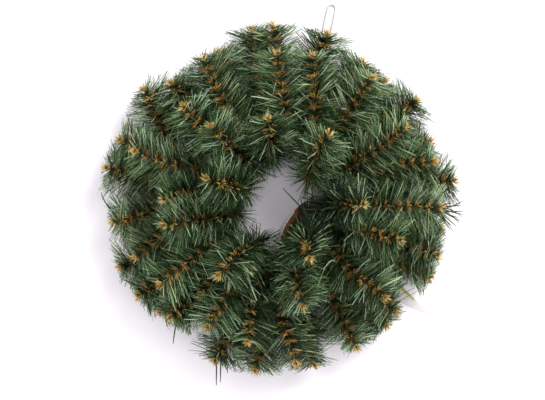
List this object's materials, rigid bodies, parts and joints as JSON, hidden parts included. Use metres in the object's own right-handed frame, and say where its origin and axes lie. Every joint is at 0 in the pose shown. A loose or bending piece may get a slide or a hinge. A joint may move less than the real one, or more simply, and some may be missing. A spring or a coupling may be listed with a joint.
{
  "type": "artificial spruce wreath",
  "caption": "Round artificial spruce wreath of wire-stemmed film-needle sprigs bound to a wire ring, with a cord loop to hang it by.",
  "frame": {"origin": "centre of the bottom of the box round the wreath without its hanging loop, on the surface it lies on", "axes": "+Z out of the wreath's face, along the ring's axis; +Y towards the hanging loop's end of the rim; +X to the right seen from the front"},
  "size_m": [0.3382, 0.3613, 0.0986],
  "materials": {
    "ring_wire": "dark green coated steel wire",
    "needle_film": "cut PVC film needles, long green and short gold-brown, on twisted green-coated wire",
    "loop_cord": "off-white twisted cord",
    "card": "matt brown card, pale at its point"
  },
  "bodies": {
    "root": {"card_tag": "card", "hanging_loop": "loop_cord", "inner_sprig_01": "needle_film", "inner_sprig_02": "needle_film", "inner_sprig_03": "needle_film", "inner_sprig_04": "needle_film", "inner_sprig_05": "needle_film", "inner_sprig_06": "needle_film", "inner_sprig_07": "needle_film", "inner_sprig_08": "needle_film", "inner_sprig_09": "needle_film", "loop_hitch": "loop_cord", "middle_sprig_01": "needle_film", "middle_sprig_02": "needle_film", "middle_sprig_03": "needle_film", "middle_sprig_04": "needle_film", "middle_sprig_05": "needle_film", "middle_sprig_06": "needle_film", "middle_sprig_07": "needle_film", "middle_sprig_08": "needle_film", "middle_sprig_09": "needle_film", "middle_sprig_10": "needle_film", "middle_sprig_11": "needle_film", "middle_sprig_12": "needle_film", "middle_sprig_13": "needle_film", "middle_sprig_14": "needle_film", "middle_sprig_15": "needle_film", "middle_sprig_16": "needle_film", "middle_sprig_17": "needle_film", "middle_sprig_18": "needle_film", "outer_sprig_01": "needle_film", "outer_sprig_02": "needle_film", "outer_sprig_03": "needle_film", "outer_sprig_04": "needle_film", "outer_sprig_05": "needle_film", "outer_sprig_06": "needle_film", "outer_sprig_07": "needle_film", "outer_sprig_08": "needle_film", "outer_sprig_09": "needle_film", "outer_sprig_10": "needle_film", "outer_sprig_11": "needle_film", "outer_sprig_12": "needle_film", "outer_sprig_13": "needle_film", "outer_sprig_14": "needle_film", "outer_sprig_15": "needle_film", "outer_sprig_16": "needle_film", "outer_sprig_17": "needle_film", "outer_sprig_18": "needle_film", "outer_sprig_19": "needle_film", "outer_sprig_20": "needle_film", "outer_sprig_21": "needle_film", "outer_sprig_22": "needle_film", "outer_sprig_23": "needle_film", "outer_sprig_24": "needle_film", "outer_sprig_25": "needle_film", "outer_sprig_26": "needle_film", "outer_sprig_27": "needle_film", "ring_frame": "ring_wire"}
  },
  "joints": []
}
